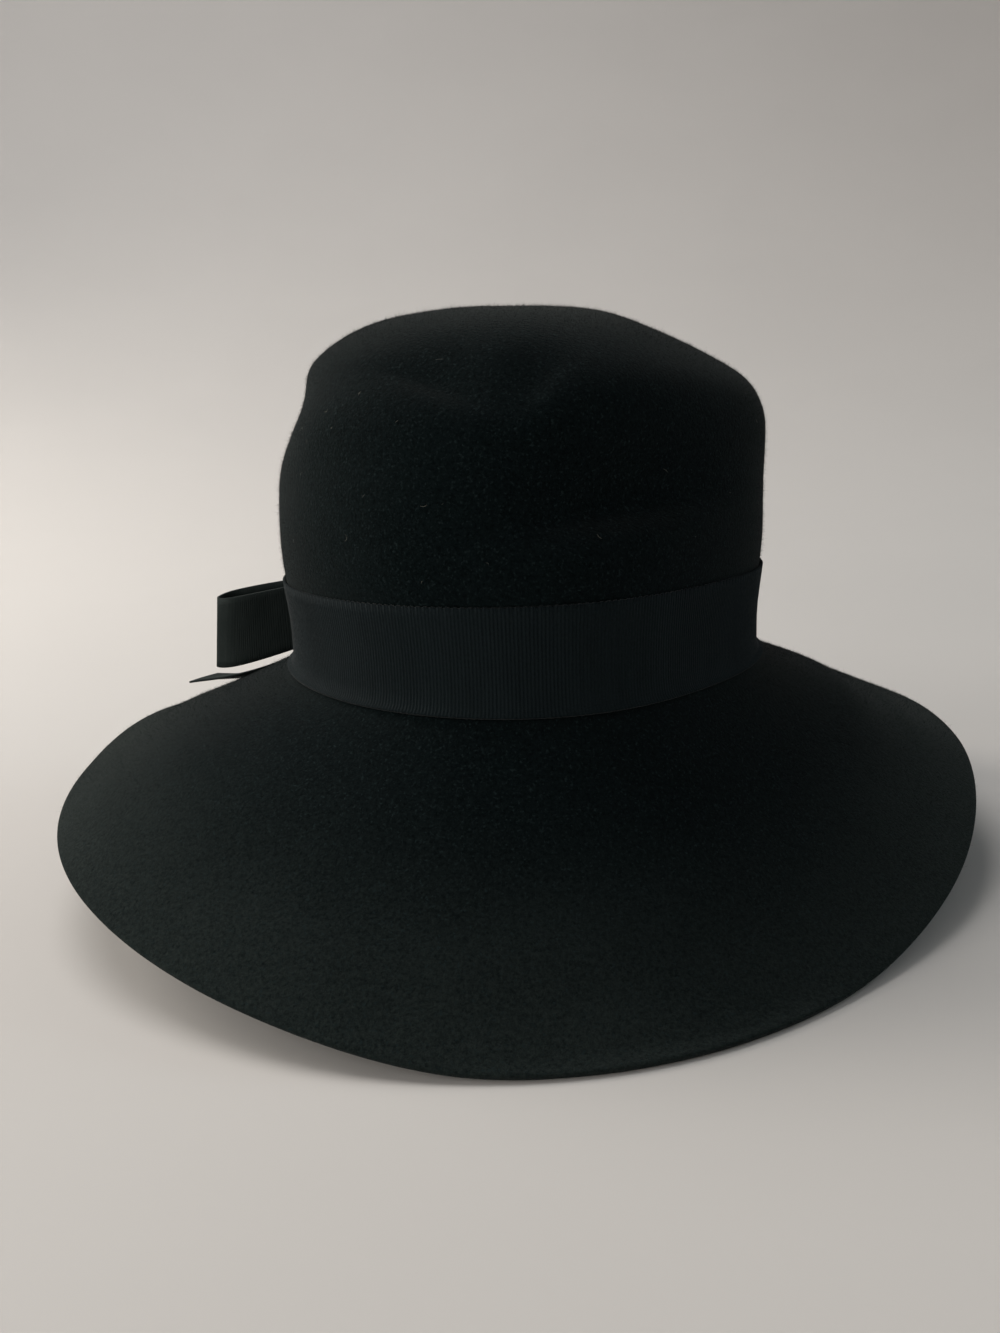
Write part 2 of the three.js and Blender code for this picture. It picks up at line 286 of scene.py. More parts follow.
ROUND_ROW = crown_row(BREAK_ROUND / CROWN_HEIGHT)
ROUND_SHARE = BREAK_ROUND / (1.25 * BRIM_REACH)
TOP = len(CROWN) - 1


def outer(turn, stage):
    """Outer felt: stage 0 to 1 is the crown from its top, 1 to 2 the bend, 2 to 3 the brim."""
    turn, stage = np.broadcast_arrays(np.asarray(turn, float), np.asarray(stage, float))
    up = crown(turn, TOP + (ROUND_ROW - TOP) * np.clip(stage, 0, 1))
    down = brim(turn, ROUND_SHARE + (1 - ROUND_SHARE) * np.clip(stage - 2, 0, 1))
    t = np.clip(stage - 1, 0, 1)[..., None]
    return (1 - t) ** 2 * up + 2 * t * (1 - t) * brim(turn, 0 * turn) + t * t * down


def outward(turn, stage):
    """Direction out of the felt, from points a little to each side."""
    turn, stage = np.broadcast_arrays(np.asarray(turn, float), np.asarray(stage, float))
    down = outer(turn, np.minimum(3, stage + 0.01)) - outer(turn, np.maximum(0, stage - 0.01))
    round_ = outer(turn + 0.5, stage) - outer(turn - 0.5, stage)
    return unit(np.cross(down, round_))


def skin(turn, stage, lift):
    """A surface that lies so many millimetres outside the outer felt."""
    return outer(turn, stage) + outward(turn, stage) * np.asarray(lift)[..., None]


def stage_at(height):
    """Stage of the crown at a height above the bend."""
    return (crown_row(height / CROWN_HEIGHT) - TOP) / (ROUND_ROW - TOP)


def share_of(value):
    return np.clip(value, 0, 1)


def waves(turn, stage):
    """Low unevenness of the felt, in mm, none at the top, under the ribbon and at the edge."""
    total = 0
    for times, down, start, height in WAVES:
        phase = np.radians(turn) * times + start + stage * down * FULL_WAVE
        total = total + height * np.sin(phase)
    above_ribbon = share_of((RIBBON_FADE[0] - stage) / RIBBON_FADE[1])
    below_bend = share_of((stage - BEND_FADE[0]) / BEND_FADE[1])
    crown_part = share_of(stage / TOP_FADE) * above_ribbon
    brim_part = below_bend * share_of((3 - stage) / EDGE_FADE)
    return total * (crown_part + brim_part)


# Mesh making
def to_frame(points):
    """Millimetres from the head oval's middle to metres in the part's frame."""
    return (points - np.array([*MIDDLE, 0.0])) * MM


def new_object(name, data):
    obj = bpy.data.objects.new(name, data)
    bpy.context.scene.collection.objects.link(obj)
    return obj


def mesh_object(name, points, faces, material, uv=None):
    """A smooth mesh from points, and from a UV if there is one, both in millimetres."""
    mesh = bpy.data.meshes.new(name)
    mesh.from_pydata(to_frame(points).tolist(), [], faces)
    if uv is not None:
        layer = mesh.uv_layers.new(name="UVMap")
        index = np.zeros(len(mesh.loops), np.int32)
        mesh.loops.foreach_get("vertex_index", index)
        layer.data.foreach_set("uv", (uv[index] * MM).astype(np.float32).ravel())
    mesh.polygons.foreach_set("use_smooth", [True] * len(mesh.polygons))
    mesh.materials.append(material)
    mesh.update()
    return new_object(name, mesh)


def grid_faces(rows, columns, first=0, wrap=False, flip=False):
    """Quads between rows of points, each row with so many columns."""
    j = np.arange(columns if wrap else columns - 1)
    k = (j + 1) % columns
    i = np.arange(rows - 1)[:, None] * columns + first
    quads = np.stack([i + j, i + columns + j, i + columns + k, i + k], -1).reshape(-1, 4)
    return quads[:, ::-1] if flip else quads


def closed_faces(rows, columns):
    """Faces of a wrapped grid with a pole at each end, the poles being the last two points."""
    j = np.arange(columns)
    k = (j + 1) % columns
    last = (rows - 1) * columns
    pole = rows * columns + 0 * j
    first_cap = np.stack([pole, j, k], -1)
    last_cap = np.stack([pole + 1, last + k, last + j], -1)
    return grid_faces(rows, columns, wrap=True).tolist() + first_cap.tolist() + last_cap.tolist()


def normals_of(grid, wrap=False):
    """Directions out of a grid of points."""
    a = np.gradient(grid, axis=0)
    if wrap:
        b = np.roll(grid, -1, 1) - np.roll(grid, 1, 1)
    else:
        b = np.gradient(grid, axis=1)
    return unit(np.cross(a, b))


def place_on_hat(obj, node):
    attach(obj, "root")
    if node:
        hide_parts(node)
    return obj


# Materials: linear colours, noise scales to a metre
FELT_DARK = (0.0008, 0.0022, 0.0026)
FELT_LIGHT = (0.0044, 0.0080, 0.0086)
# Painted light: the felt goes paler and greyer towards the edge of the brim, where it stands
# clear of the crown's shade.
EDGE_LIT_DARK = (0.0054, 0.0084, 0.0084)
EDGE_LIT_LIGHT = (0.0190, 0.0250, 0.0235)
FLECK = (0.0110, 0.0180, 0.0190)
RIBBON_TONES = ((0.0030, 0.0060, 0.0070), (0.0074, 0.0125, 0.0145))
# Painted light: the bow is the band's ribbon, made paler here to stand for light falling on its
# face.
LIT_BOW_TONES = ((0.0150, 0.0205, 0.0198), (0.0290, 0.0372, 0.0355))
LINT_TONES = ((0.05, 0.055, 0.05), (0.16, 0.155, 0.13))
PAPER = (0.56, 0.54, 0.52)
FELT_SPAN = (0.36, 0.64)  # noise values of the darkest and the lightest felt
FLECK_SPAN = (0.58, 0.72)  # noise values where a fleck starts and where it is full
EDGE_LIT_SPAN = (0.105, 0.175)  # metres from the middle where the painted light starts and where it is full


def new_material(name):
    material = bpy.data.materials.new(name)
    material.use_nodes = True
    nodes = material.node_tree.nodes
    return material, nodes, material.node_tree.links, nodes["Principled BSDF"]


def noise(nodes, links, source, scale, detail, stretch=None):
    texture = nodes.new("ShaderNodeTexNoise")
    texture.inputs["Scale"].default_value = scale
    texture.inputs["Detail"].default_value = detail
    if stretch:
        mapping = nodes.new("ShaderNodeMapping")
        mapping.inputs["Scale"].default_value = stretch
        links.new(source, mapping.inputs["Vector"])
        source = mapping.outputs["Vector"]
    links.new(source, texture.inputs["Vector"])
    return texture.outputs["Fac"]


def ramp(nodes, links, source, span, colours):
    """Colour that goes from the first to the second while the source goes through the span."""
    node = nodes.new("ShaderNodeValToRGB")
    for element, place, colour in zip(node.color_ramp.elements, span, colours):
        element.position = place
        element.color = (*colour, 1)
    links.new(source, node.inputs["Fac"])
    return node.outputs["Color"]


def combine(nodes, links, kind, a, b):
    """Sum or product of a socket and another socket or a number."""
    node = nodes.new("ShaderNodeMath")
    node.operation = kind
    links.new(a, node.inputs[0])
    if hasattr(b, "is_linked"):
        links.new(b, node.inputs[1])
    else:
        node.inputs[1].default_value = b
    return node.outputs[0]


def weighted(nodes, links, *parts):
    """Sum of sockets, each times its share."""
    total = None
    for socket, share in parts:
        part = combine(nodes, links, "MULTIPLY", socket, share)
        total = part if total is None else combine(nodes, links, "ADD", total, part)
    return total


def add_bump(nodes, links, shader, height, distance, strength):
    bump = nodes.new("ShaderNodeBump")
    bump.inputs["Distance"].default_value = distance
    bump.inputs["Strength"].default_value = strength
    links.new(height, bump.inputs["Height"])
    links.new(bump.outputs["Normal"], shader.inputs["Normal"])


def painted_edge_light(nodes, links, place):
    """Share of painted light: none at the crown and band, most at the edge of the brim."""
    away = nodes.new("ShaderNodeVectorMath")
    away.operation = "MULTIPLY"
    away.inputs[1].default_value = (1, 1, 0)
    links.new(place, away.inputs[0])
    reach = nodes.new("ShaderNodeVectorMath")
    reach.operation = "LENGTH"
    links.new(away.outputs["Vector"], reach.inputs[0])
    share = nodes.new("ShaderNodeMapRange")
    share.interpolation_type = "SMOOTHSTEP"
    share.inputs["From Min"].default_value = EDGE_LIT_SPAN[0]
    share.inputs["From Max"].default_value = EDGE_LIT_SPAN[1]
    links.new(reach.outputs["Value"], share.inputs["Value"])
    return share.outputs["Result"]


def mixed(nodes, links, share, a, b):
    """Colour a where the share is 0 and b where it is 1."""
    node = nodes.new("ShaderNodeMix")
    node.data_type = "RGBA"
    links.new(share, node.inputs["Factor"])
    links.new(a, node.inputs["A"])
    links.new(b, node.inputs["B"])
    return node.outputs["Result"]


def felt_colour(nodes, links, place, tone):
    """Blue-black felt, dark to light; painted light makes it paler and greyer at the brim's edge.
    """
    dark = ramp(nodes, links, tone, FELT_SPAN, (FELT_DARK, FELT_LIGHT))
    # painted light at the brim's edge
    edge_lit = ramp(nodes, links, tone, FELT_SPAN, (EDGE_LIT_DARK, EDGE_LIT_LIGHT))
    return mixed(nodes, links, painted_edge_light(nodes, links, place), dark, edge_lit)


def felt_material():
    """Matted wool fibres: clumps and fine fibres in tone and relief, and small paler flecks."""
    material, nodes, links, shader = new_material("felt")
    place = nodes.new("ShaderNodeTexCoord").outputs["Object"]
    broad = noise(nodes, links, place, scale=25, detail=3)
    clumps = noise(nodes, links, place, scale=900, detail=2)
    fibres = noise(nodes, links, place, scale=2200, detail=2)
    tone = weighted(nodes, links, (clumps, 0.45), (broad, 0.15), (fibres, 0.4))
    fleck = nodes.new("ShaderNodeMapRange")
    fleck.inputs["From Min"].default_value = FLECK_SPAN[0]
    fleck.inputs["From Max"].default_value = FLECK_SPAN[1]
    links.new(noise(nodes, links, place, scale=1150, detail=2), fleck.inputs["Value"])
    pale = ramp(nodes, links, tone, (0.3, 0.7), (FLECK, FLECK))
    plain = felt_colour(nodes, links, place, tone)
    colour = mixed(nodes, links, fleck.outputs["Result"], plain, pale)
    links.new(colour, shader.inputs["Base Color"])
    shader.inputs["Roughness"].default_value = 0.95
    shader.inputs["Specular IOR Level"].default_value = 0.03
    shader.inputs["Sheen Weight"].default_value = 0.05
    shader.inputs["Sheen Roughness"].default_value = 0.4
    shader.inputs["Sheen Tint"].default_value = (0.9, 0.95, 0.92, 1)
    height = combine(nodes, links, "ADD", fibres, combine(nodes, links, "MULTIPLY", clumps, 1.2))
    add_bump(nodes, links, shader, height, distance=0.0003, strength=0.6)
    return material


def nap_material():
    material, nodes, links, shader = new_material("felt_nap")
    place = nodes.new("ShaderNodeTexCoord").outputs["Object"]
    tone = noise(nodes, links, place, scale=900, detail=1)
    # The nap takes the same painted light at the brim's edge.
    links.new(felt_colour(nodes, links, place, tone), shader.inputs["Base Color"])
    shader.inputs["Roughness"].default_value = 0.9
    shader.inputs["Specular IOR Level"].default_value = 0.05
    return material


def lint_material():
    material, nodes, links, shader = new_material("lint")
    place = nodes.new("ShaderNodeTexCoord").outputs["Object"]
    tone = noise(nodes, links, place, scale=200, detail=1)
    links.new(ramp(nodes, links, tone, (0.4, 0.7), LINT_TONES), shader.inputs["Base Color"])
    shader.inputs["Roughness"].default_value = 0.9
    return material


def ribbon_material(name, tones):
    """Grosgrain: streaks along the ribs and fine threads. The ribs themselves are in the mesh."""
    material, nodes, links, shader = new_material(name)
    place = nodes.new("ShaderNodeTexCoord").outputs["UV"]
    streaks = noise(nodes, links, place, scale=900, detail=2, stretch=(1, 0.12, 1))
    threads = noise(nodes, links, place, scale=2600, detail=1)
    broad = noise(nodes, links, place, scale=60, detail=2)
    tone = weighted(nodes, links, (streaks, 0.2), (threads, 0.55), (broad, 0.25))
    links.new(ramp(nodes, links, tone, (0.35, 0.65), tones), shader.inputs["Base Color"])
    shader.inputs["Roughness"].default_value = 0.8
    shader.inputs["Specular IOR Level"].default_value = 0.08
    shader.inputs["Sheen Weight"].default_value = 0.05
    shader.inputs["Sheen Roughness"].default_value = 0.35
    add_bump(nodes, links, shader, threads, distance=0.00015, strength=0.8)
    return material


def paper_material():
    """Matt paper with a faint unevenness of tone."""
    material, nodes, links, shader = new_material("studio_paper")
    place = nodes.new("ShaderNodeTexCoord").outputs["Object"]
    tone = noise(nodes, links, place, scale=3, detail=2)
    darker = tuple(c * 0.985 for c in PAPER)
    links.new(ramp(nodes, links, tone, (0.4, 0.6), (darker, PAPER)), shader.inputs["Base Color"])
    shader.inputs["Roughness"].default_value = 0.9
    return material


# Felt body
FELT_COLUMNS = 320
CROWN_RINGS = 96
BEND_RINGS = 6
BRIM_RINGS = 64
INNER_RINGS = (40, 4, 30)  # crown, bend and brim on the inner face
RING_POWER = 0.9  # under 1: the crown's rings are a little farther apart towards its top
EDGE_ANGLES = (30, 60, 90, 120, 150)  # degrees from the outer to the inner face
EDGE_BULGE = 0.5  # how far the edge of the brim is rounded outward, mm
FLOOR_ROUND = 1.0  # how softly the brim turns flat on the floor, mm


def felt_stages(crown_rings, bend_rings, brim_rings):
    """Stages of the felt's rings, from just below the top of the crown to the edge."""
    top = (np.arange(1, crown_rings + 1) / crown_rings) ** RING_POWER
    bend = 1 + np.arange(1, bend_rings) / bend_rings
    edge = 2 + np.arange(brim_rings + 1) / brim_rings
    return np.concatenate([top, bend, edge])


FELT_TURNS = np.arange(FELT_COLUMNS) * 360 / FELT_COLUMNS
OUTER_STAGES = felt_stages(CROWN_RINGS, BEND_RINGS, BRIM_RINGS)


def felt_skin(stages, lift):
    """One face of the felt; where the brim rests on the floor it lies flat on it."""
    t, s = np.meshgrid(FELT_TURNS, stages)
    points = skin(t, s, waves(t, s) + lift)
    floor = FELT + lift
    points[..., 2] = floor + FLOOR_ROUND * np.logaddexp(0, (points[..., 2] - floor) / FLOOR_ROUND)
    return points


def make_felt(material):
    """Outer face, rounded edge and inner face in one closed mesh. Also gives the outer grid."""
    out_grid = felt_skin(OUTER_STAGES, 0.0)
    in_grid = felt_skin(felt_stages(*INNER_RINGS), -FELT)
    rim_out, rim_in = out_grid[-1], in_grid[-1]
    away = unit(brim(FELT_TURNS, 1.0) - brim(FELT_TURNS, 0.97))
    edge = []
    for angle in EDGE_ANGLES:
        c, s = math.cos(math.radians(angle)), math.sin(math.radians(angle))
        middle = (rim_out + rim_in) / 2
        edge.append(middle + (rim_out - rim_in) / 2 * c + away * EDGE_BULGE * s)
    rings = np.concatenate([out_grid, np.array(edge), in_grid[::-1]])
    pole_out = outer(0, 0.0)
    pole_in = pole_out - np.array([0, 0, FELT])
    points = np.concatenate([rings.reshape(-1, 3), [pole_out, pole_in]])
    points[:, 2] = np.maximum(points[:, 2], 0)
    obj = mesh_object("felt", points, closed_faces(len(rings), FELT_COLUMNS), material)
    return place_on_hat(obj, "felt_body"), out_grid


# Nap and lint, millimetres
CROWN_FIBRES = 110000
BRIM_FIBRES = 180000
NAP_LENGTH = (5, 0.24)  # shape and scale of the spread of lengths
NAP_RISE = (0.25, 1.0)  # how far a fibre stands up, least and most, as a share of its length
NAP_LIE = 0.8  # how far it leans, as a share of its length
NAP_STRAIGHT = 0.8  # share of its length that a curled fibre reaches
NAP_WIDTH = 0.028  # half width at the root
FLOOR_CLEAR = 0.02  # a fibre whose tip is lower than this is left out
LINT_COUNT = 70
LINT_REACH = (0.25, 1.3)  # half length, least and most
LINT_BEND = 0.8
LINT_LIFT = 0.35
LINT_WIDTH = 0.07  # half width in the middle
LINT_TAPER = 0.6


def spread_on(grid, rows, count):
    """Random points on a wrapped grid between two rows, with the felt's normals."""
    part = grid[rows[0]:rows[1]]
    normal = normals_of(part, wrap=True)
    a, b = part[:-1], np.roll(part, -1, 1)[:-1]
    c = part[1:]
    area = np.linalg.norm(np.cross(b - a, c - a), axis=-1).ravel()
    pick = rng.choice(len(area), count, p=area / area.sum())
    i, j = np.unravel_index(pick, a.shape[:2])
    k = (j + 1) % grid.shape[1]
    s, t = rng.random((2, count, 1))
    p = part[i, j] * (1 - s) * (1 - t) + part[i, k] * s * (1 - t)
    p = p + part[i + 1, j] * (1 - s) * t + part[i + 1, k] * s * t
    return p, unit(normal[i, j] * (1 - s) + normal[i, k] * s)


def sideways(normal, count):
    """A random direction along the felt at each point."""
    v = rng.normal(size=(count, 3))
    return unit(v - (v * normal).sum(-1, keepdims=True) * normal)


def make_nap(name, grid, rows, count, material):
    """Short fibres that stand out of the felt, each a thin pointed sliver."""
    root, normal = spread_on(grid, rows, count)
    lie = sideways(normal, count)
    length = rng.gamma(*NAP_LENGTH, (count, 1))
    rise = rng.uniform(*NAP_RISE, (count, 1))
    tip = root + (normal * rise + lie * NAP_LIE) * length * NAP_STRAIGHT
    side = unit(np.cross(normal, lie)) * NAP_WIDTH
    keep = tip[:, 2] > FLOOR_CLEAR
    points = np.stack([root - side, root + side, tip], 1)[keep]
    points[..., 2] = np.maximum(points[..., 2], 0)
    faces = np.arange(len(points) * 3).reshape(-1, 3)
    obj = mesh_object(name, points.reshape(-1, 3), faces.tolist(), material)
    place_on_hat(obj, None)


def make_lint(grid, rows, count, material):
    """Stray pale fibres that lie on the felt, each a bent strip of three quads."""
    root, normal = spread_on(grid, rows, count)
    lie = sideways(normal, count)
    turn = np.cross(normal, lie)
    size = rng.uniform(*LINT_REACH, (count, 1))
    bend = rng.uniform(-LINT_BEND, LINT_BEND, (count, 1))
    pairs = []
    for step in (-1.0, -0.33, 0.33, 1.0):
        middle = root + normal * LINT_LIFT + lie * size * step + turn * size * bend * step * step
        wide = turn * LINT_WIDTH * (1 - abs(step) * LINT_TAPER)
        pairs.append(np.stack([middle - wide, middle + wide], 1))
    points = np.stack(pairs, 1).reshape(-1, 3)
    strip = np.array([(0, 1, 3, 2), (2, 3, 5, 4), (4, 5, 7, 6)])
    faces = (np.arange(count)[:, None, None] * 8 + strip).reshape(-1, 4)
    obj = mesh_object("lint", points, faces.tolist(), material)
    place_on_hat(obj, None)


# Ribbon
POINTS_TO_RIB = 4
RIB_HEIGHT = 0.13  # how far a rib's ridge stands out of the front, mm
BAND_RIBS = 520
LOOP_RIBS = 150
TAIL_RIBS = 64
BAND_TOP = RIBBON_WIDTH * 0.95  # height of the band's upper edge over the bend


def rib_wave(count):
    """Ridges and grooves of the ribs, from 1 to -1, for as many points."""
    return np.tile([1.0, 0.15, -1.0, 0.15], count // POINTS_TO_RIB)


def ribbon_solid(name, grid, wrap, material, uv):
    """A ribbon of real thickness over a grid: rows along the width, columns along the length."""
    rows, columns = grid.shape[:2]
    normal = normals_of(grid, wrap)
    rib = rib_wave(columns + POINTS_TO_RIB - 1)[:columns] * RIB_HEIGHT
    front = grid + normal * (RIBBON / 2 + rib)[None, :, None]
    back = grid - normal * (RIBBON / 2 - 0.5 * rib)[None, :, None]
    points = np.concatenate([front.reshape(-1, 3), back.reshape(-1, 3)])
    n = rows * columns
    faces = [grid_faces(rows, columns, 0, wrap), grid_faces(rows, columns, n, wrap, flip=True)]
    j = np.arange(columns if wrap else columns - 1)
    k = (j + 1) % columns
    low, high = 0, (rows - 1) * columns
    faces.append(np.stack([low + k, n + low + k, n + low + j, low + j], -1))
    faces.append(np.stack([high + j, n + high + j, n + high + k, high + k], -1))
    if not wrap:
        i = np.arange(rows - 1) * columns
        faces.append(np.stack([i, n + i, n + i + columns, i + columns], -1))
        e = i + columns - 1
        faces.append(np.stack([e + columns, n + e + columns, n + e, e], -1))
    both = np.concatenate([uv.reshape(-1, 2), uv.reshape(-1, 2)])
    return mesh_object(name, points, np.concatenate(faces).tolist(), material, both)


def make_band(material):
    """The band: upright on the crown, with its lower edge turned out over the bend."""
    columns = BAND_RIBS * POINTS_TO_RIB
    turn = np.arange(columns) * 360 / columns
    top = stage_at(BAND_TOP)
    turned_out = [1.72, 1.55, 1.4, 1.25, 1.1]
    upright = 1 - np.array([0, 0.12, 0.3, 0.5, 0.7, 0.88, 1.0]) * (1 - top)
    stages = np.concatenate([turned_out, upright])
    t, s = np.meshgrid(turn, stages)
    # Fine teeth along both edges, every other rib standing out
    every_other = np.arange(columns) // POINTS_TO_RIB % 2 == 0
    teeth = np.where(every_other, 0.25, -0.1) * (rib_wave(columns) > 0)
    s[-1] -= teeth * 0.006
    s[0] += teeth * 0.03
    clear = np.interp(stages, [top, 1.0, 1.3, 1.5, 1.72], [GAP, GAP, 0.55, 0.4, 1.3])
    grid = skin(t, s, (clear + RIBBON / 2)[:, None] + 0 * t)
    girth = math.pi * HEAD_WIDTH
    uv = np.stack([t / 360 * girth, np.interp(s, [0.5, 1.0, 1.8], [40, 5, 0])], -1)
    obj = ribbon_solid("ribbon_band", grid[::-1], True, material, uv[::-1])
    return place_on_hat(obj, "hat_band")


def level_axes(turn):
    """Level directions: out from the middle at a turn, and the one to the left of it."""
    a = math.radians(turn)
    out = np.array([math.cos(a), math.sin(a), 0.0])
    return out, np.array([-out[1], out[0], 0.0])


def knot_place():
    """Middle of the knot, and its directions out of the crown and round it."""
    out, round_ = level_axes(BOW_TURN)
    reach = oval(np.array(float(BOW_TURN))) * 1.01 + GAP * 2 + RIBBON + KNOT_HALF[1]
    centre = out * reach
    centre[2] = BREAK_HEIGHT + RIBBON_WIDTH * 0.35
    return centre, out, round_


def ribbon_grid(ribs, rows):
    """Shares along and across a ribbon, with whole ribs along it."""
    along = np.linspace(0, 1, POINTS_TO_RIB * ribs + 1)
    return np.meshgrid(along, np.linspace(0, 1, rows))


def make_loop(name, node, side, material):
    """A loop of the bow, gathered where it leaves the knot."""
    centre, out, round_ = knot_place()
    c, s = math.cos(math.radians(LOOP_SPLAY)), math.sin(math.radians(LOOP_SPLAY))
    level = round_ * side * c + out * s
    aside = np.array([-level[1], level[0], 0.0])
    droop = math.radians(LOOP_DROOP)
    along = level * math.cos(droop)
    along[2] = -math.sin(droop)
    up = unit(np.cross(along, aside))
    up = up if up[2] > 0 else -up
    t, w = ribbon_grid(LOOP_RIBS, rows=11)
    u = t * (len(LOOP) - 1)
    far = row_value(LOOP, 0, u)
    wide = RIBBON_WIDTH * row_value(LOOP, 2, u) * (w - 0.5)
    gather = np.exp(-((far - 0.1) / 0.22) ** 2)
    fold = gather * np.cos(w * math.pi * 3.0)
    wave = 0.7 * np.sin(w * math.pi * 1.4 + t * 9) * np.sin(math.pi * t)
    grid = centre + (LOOP_LENGTH * far + LOOP_SKEW * (0.5 - w) * far)[..., None] * along
    grid = grid + (LOOP_LENGTH * row_value(LOOP, 1, u) + fold + wave)[..., None] * aside
    grid = grid + wide[..., None] * up
    uv = np.stack([t * LOOP_RIBS * RIB, w * RIBBON_WIDTH], -1)
    obj = ribbon_solid(name, grid, False, material, uv)
    return place_on_hat(obj, node)


def squared(wave):
    """A cosine or sine wave with fuller shoulders, for a section between oval and square."""
    return np.sign(wave) * np.abs(wave) ** 0.6


def make_knot(material):
    """The ribbon wrapped round the middle of the bow, pleated and slightly waisted."""
    centre, out, round_ = knot_place()
    rings, around = 41, 96
    angles = np.arange(around) * 2 * math.pi / around
    v, a = np.meshgrid(np.linspace(0, 1, rings), angles, indexing="ij")
    end = np.sqrt(np.clip(1 - np.abs(2 * v - 1) ** 6, 0, 1)) * 0.3 + 0.7
    waist = 1 - 0.12 * np.cos((v - 0.5) * math.pi)
    pleat = 1 + 0.05 * np.cos(a * 6 + 0.6 * np.sin(v * 5)) * np.sin(v * math.pi)
    rib = 1 + 0.012 * np.cos(v * 2 * math.pi * 2 * KNOT_HALF[2] / RIB)
    wide = KNOT_HALF[0] * squared(np.cos(a)) * waist * end * pleat * rib
    deep = KNOT_HALF[1] * squared(np.sin(a)) * end * pleat * rib
    grid = centre + wide[..., None] * round_
    grid = grid + deep[..., None] * out
    grid[..., 2] += KNOT_HALF[2] * (2 * v - 1)
    points = np.concatenate([grid.reshape(-1, 3), [grid[0].mean(0), grid[-1].mean(0)]])
    obj = mesh_object("bow_knot_wrap", points, closed_faces(rings, around), material)
    return place_on_hat(obj, "bow_knot")


def brim_height(x, y):
    """Height of the outer felt of the brim over a point of the floor, by halving."""
    turn = np.degrees(np.arctan2(y, x)) % 360
    want = np.hypot(x, y) - oval(turn) * CROWN[0, 1]
    low, high = 0 * want, 0 * want + 1.2
    for _ in range(HALVINGS):
        mid = (low + high) / 2
        under = brim_slope(turn, mid)[0] < want
        low, high = np.where(under, mid, low), np.where(under, high, mid)
    return BREAK_HEIGHT + brim_slope(turn, (low + high) / 2)[1]


def make_tail(name, node, side, curl, material):
    """A tail of the bow, which lies along the brim, curls up towards its end and is notched."""
    centre, out, round_ = knot_place()
    start = centre + round_ * side * KNOT_HALF[0] * 1.15 + out * KNOT_HALF[1]
    along, aside = level_axes(BOW_TURN + side * TAIL_SPLAY)
    t, w = ribbon_grid(TAIL_RIBS, rows=17)
    u = t * (len(TAIL) - 1)
    notch = 1 - 0.12 * (1 - np.abs(2 * w - 1)) * t
    grid = start + (TAIL_LENGTH * row_value(TAIL, 0, u) * notch)[..., None] * along
    grid = grid + (RIBBON_WIDTH * row_value(TAIL, 1, u) * (w - 0.5))[..., None] * aside
    cup = 0.8 * (2 * w - 1) ** 2 * np.sin(math.pi * t)
    lift = RIBBON_WIDTH * row_value(TAIL, 2, u) * np.where(t > 0.6, curl, 1)
    over_brim = GAP + RIBBON * 0.95
    grid[..., 2] = brim_height(grid[..., 0], grid[..., 1]) + over_brim + lift + cup
    uv = np.stack([t * TAIL_RIBS * RIB, w * RIBBON_WIDTH], -1)
    obj = ribbon_solid(name, grid, False, material, uv)
    return place_on_hat(obj, node)


# Studio, metres
FLOOR_REACH = 0.6  # from the middle to where the floor starts to curve up
COVE = 2.6  # radius of that curve
COVE_STEPS = 24
STAGE_COLUMNS = 96
HAT_MIDDLE = (0, 0, 0.1)


def make_stage():
    """A pale floor that curves up into a wall all round, far from the hat."""
    profile = [(0.0, 0.0), (FLOOR_REACH / 2, 0.0), (FLOOR_REACH, 0.0)]
    for step in range(1, COVE_STEPS + 1):
        a = math.radians(step * 90 / COVE_STEPS)
        profile.append((FLOOR_REACH + COVE * math.sin(a), COVE * (1 - math.cos(a))))
    turn = np.arange(STAGE_COLUMNS) * 360 / STAGE_COLUMNS
    rings = [from_turn(turn, np.full(STAGE_COLUMNS, max(r, MM)), z) for r, z in profile]
    points = np.concatenate(rings) * 1000 + np.array([*MIDDLE, 0.0])
    faces = grid_faces(len(profile), STAGE_COLUMNS, wrap=True, flip=True)
    mesh_object("studio_floor", points, faces.tolist(), paper_material())


def turned(right, up, back, place):
    """Matrix of a light or camera at a place, from its own directions."""
    rows = [(right[i], up[i], back[i], place[i]) for i in range(3)]
    return Matrix([*rows, (0, 0, 0, 1)])


def make_light(name, place, size, energy, colour, aim=HAT_MIDDLE):
    data = bpy.data.lights.new(name, "AREA")
    data.shape = "DISK"
    data.size = size
    data.energy = energy
    data.color = colour
    back = unit(np.array(place) - np.array(aim))
    right = unit(np.cross([0, 0, 1.0], back))
    light = new_object(name, data)
    light.matrix_world = turned(right, np.cross(back, right), back, place)
    light.visible_camera = False


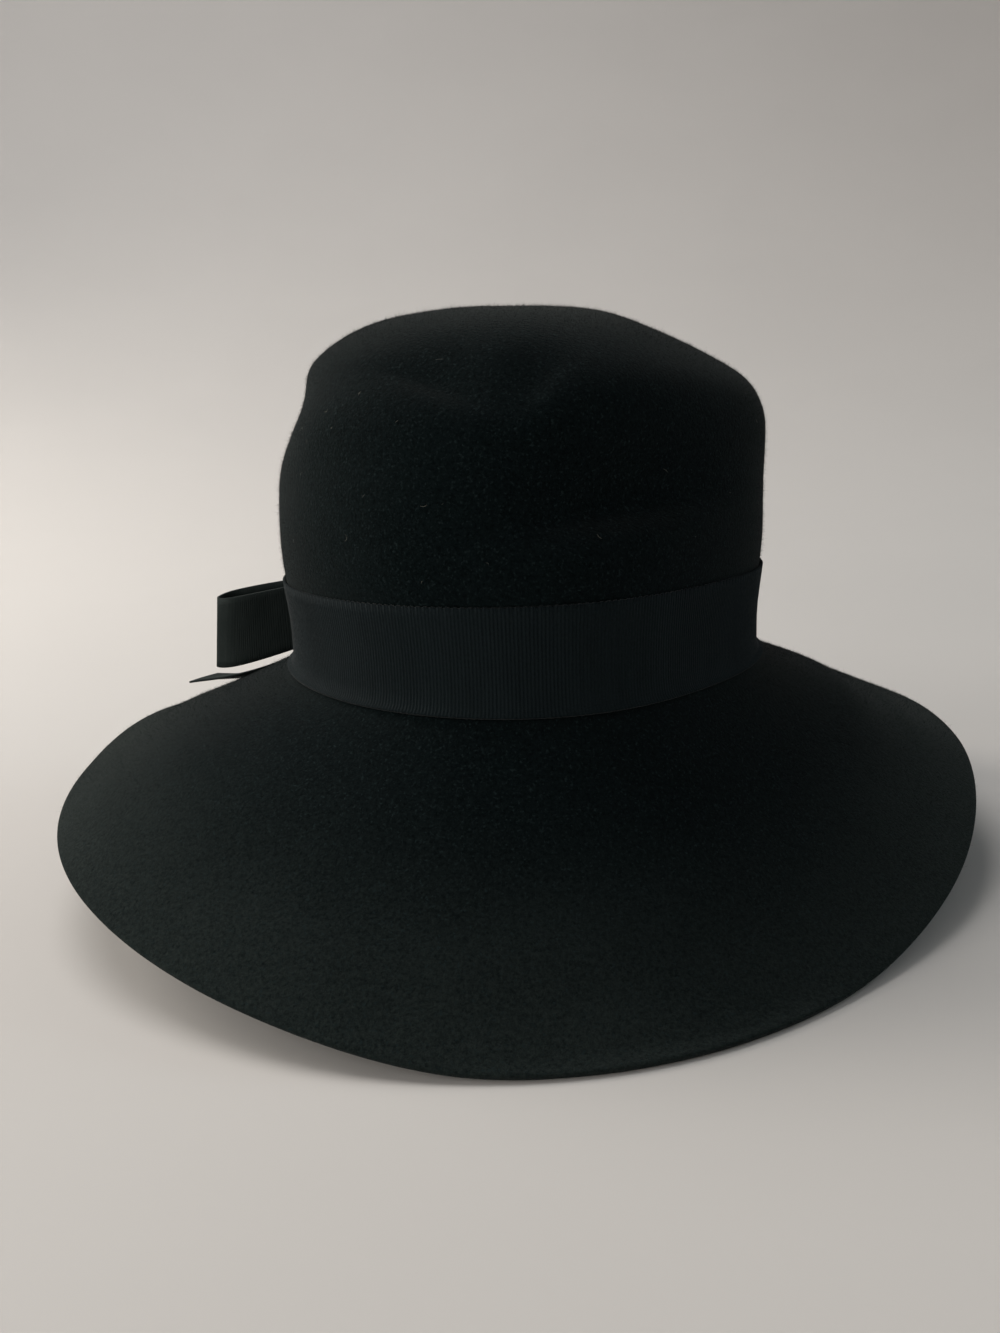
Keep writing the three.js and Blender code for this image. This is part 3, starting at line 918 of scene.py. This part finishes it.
def make_camera():
    pitch, roll = math.radians(CAMERA_PITCH), math.radians(CAMERA_ROLL)
    forward = np.array([0, math.cos(pitch), -math.sin(pitch)])
    up = np.array([0, math.sin(pitch), math.cos(pitch)])
    right = np.array([1.0, 0, 0])
    c, s = math.cos(roll), math.sin(roll)
    right, up = c * right + s * up, c * up - s * right
    height = BREAK_HEIGHT + CAMERA_OVER_BREAK
    data = bpy.data.cameras.new("camera")
    data.sensor_fit = "HORIZONTAL"
    data.sensor_width = 36
    data.lens = CAMERA_LENS
    data.clip_start = 0.01
    camera = new_object("camera", data)
    place = to_frame(np.array([CAMERA_RIGHT, -CAMERA_BACK, height]))
    camera.matrix_world = turned(right, up, -forward, place)
    bpy.context.scene.camera = camera


def make_world():
    world = bpy.data.worlds.new("studio")
    world.use_nodes = True
    background = world.node_tree.nodes["Background"]
    background.inputs["Color"].default_value = (0.9, 0.93, 1.0, 1)
    background.inputs["Strength"].default_value = 0.1
    bpy.context.scene.world = world


bpy.context.scene.view_settings.view_transform = "Standard"
make_camera()
make_world()
make_stage()
make_light("window_left", (-1.49, 0.54, 0.85), 0.9, 18, (1.0, 0.94, 0.86))
make_light("window_front_left", (-1.53, -0.56, 0.76), 0.9, 8, (1.0, 0.96, 0.9))
make_light("lamp_front_left", (-1.0, -1.3, 0.7), 0.9, 5, (1.0, 0.98, 0.95))
make_light("ceiling", (-0.6, 0.5, 1.9), 1.4, 20, (1.0, 0.98, 0.96))
make_light("window_right", (1.6, 0.28, 0.8), 0.9, 4, (0.74, 0.92, 1.0))
make_light("wall_washer", (-0.6, 1.2, 2.4), 1.4, 22, (1.0, 0.98, 0.96), (-0.8, 3.0, 1.4))

nap = nap_material()
# The bow's ribbon is painted lighter than the band's, standing for light on the bow.
lit_bow_ribbon = ribbon_material("grosgrain_bow_lit", LIT_BOW_TONES)

felt, felt_grid = make_felt(felt_material())
band_ring = int(np.argmax(OUTER_STAGES > stage_at(BAND_TOP)))
brim_ring = CROWN_RINGS + BEND_RINGS - 1
make_nap("crown_nap", felt_grid, (1, band_ring), CROWN_FIBRES, nap)
make_nap("brim_nap", felt_grid, (brim_ring, len(felt_grid)), BRIM_FIBRES, nap)
make_lint(felt_grid, (2, band_ring), LINT_COUNT, lint_material())
band = make_band(ribbon_material("grosgrain", RIBBON_TONES))
knot = make_knot(lit_bow_ribbon)
for end, side, curl in (("front", 1, 1), ("rear", -1, 0.4)):
    loop = make_loop("ribbon_loop_" + end, "bow_loop_" + end, side, lit_bow_ribbon)
    tail = make_tail("ribbon_tail_" + end, "bow_tail_" + end, side, curl, lit_bow_ribbon)
